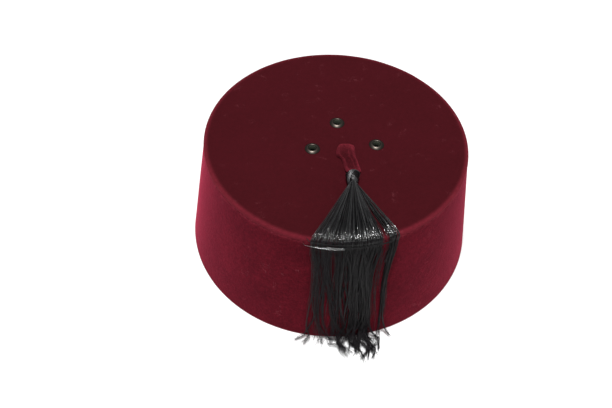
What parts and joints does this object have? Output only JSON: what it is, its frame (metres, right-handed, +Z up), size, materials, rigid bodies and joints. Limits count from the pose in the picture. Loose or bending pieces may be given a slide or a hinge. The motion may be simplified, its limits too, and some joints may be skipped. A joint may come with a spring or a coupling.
{
  "type": "fez hat",
  "caption": "Stiff velvet fez: conical side wall open at the bottom, flat top with metal vent eyelets, a folded centre tab, and a black tassel that fans over the edge and hangs down the front.",
  "frame": {"origin": "centre of the head opening, in the plane of the bottom edge that the hat rests on", "axes": "+Z up along the hat's axis, towards the flat top; -Y is the front, where the tassel hangs; +X is to the right as seen from the front"},
  "size_m": [0.1886, 0.2095, 0.0904],
  "materials": {
    "velvet_side": "crimson velvet with a short nap",
    "velvet_top": "dark crimson velvet with a short nap",
    "velvet_tab": "folded crimson velvet",
    "gunmetal": "dark gunmetal plating, worn at the crown",
    "thread_binding": "black rayon thread, wound",
    "thread_tassel": "black rayon threads, lustrous"
  },
  "bodies": {
    "root": {"side_band": "velvet_side", "top_disc": "velvet_top", "eyelet_back": "gunmetal", "eyelet_left": "gunmetal", "eyelet_right": "gunmetal", "centre_tab": "velvet_tab", "tassel_binding": "thread_binding", "tassel": "thread_tassel"}
  },
  "joints": []
}
